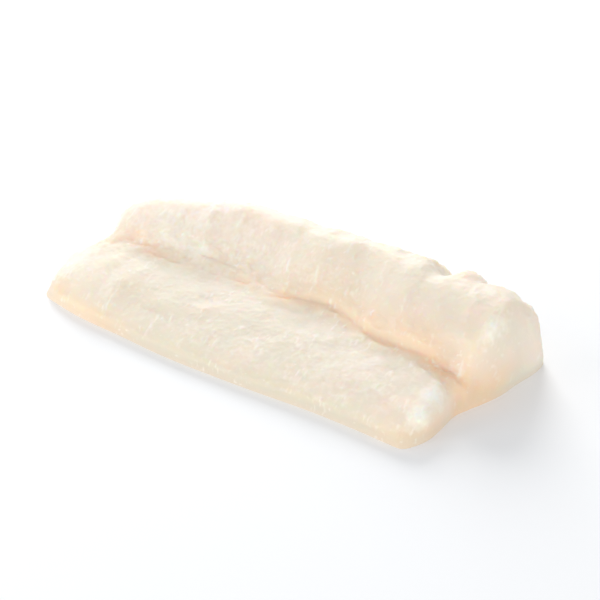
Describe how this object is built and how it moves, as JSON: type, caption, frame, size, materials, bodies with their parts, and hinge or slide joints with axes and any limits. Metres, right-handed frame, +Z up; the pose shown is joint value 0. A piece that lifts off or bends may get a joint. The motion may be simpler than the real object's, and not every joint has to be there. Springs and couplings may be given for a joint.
{
  "type": "lightly salted cod fillet",
  "caption": "Raw skinless piece of cod fillet with a thin front lobe, a thick back lobe and the groove of the bone line between them.",
  "frame": {"origin": "middle of the flat underside, on the table", "axes": "+X along the fillet towards its cut end, +Y from the thin front edge towards the thick back, +Z up"},
  "size_m": [0.202, 0.0916, 0.0375],
  "materials": {
    "flesh": "moist, soft sheen, cream white"
  },
  "bodies": {
    "root": {"fillet": "flesh"}
  },
  "joints": []
}
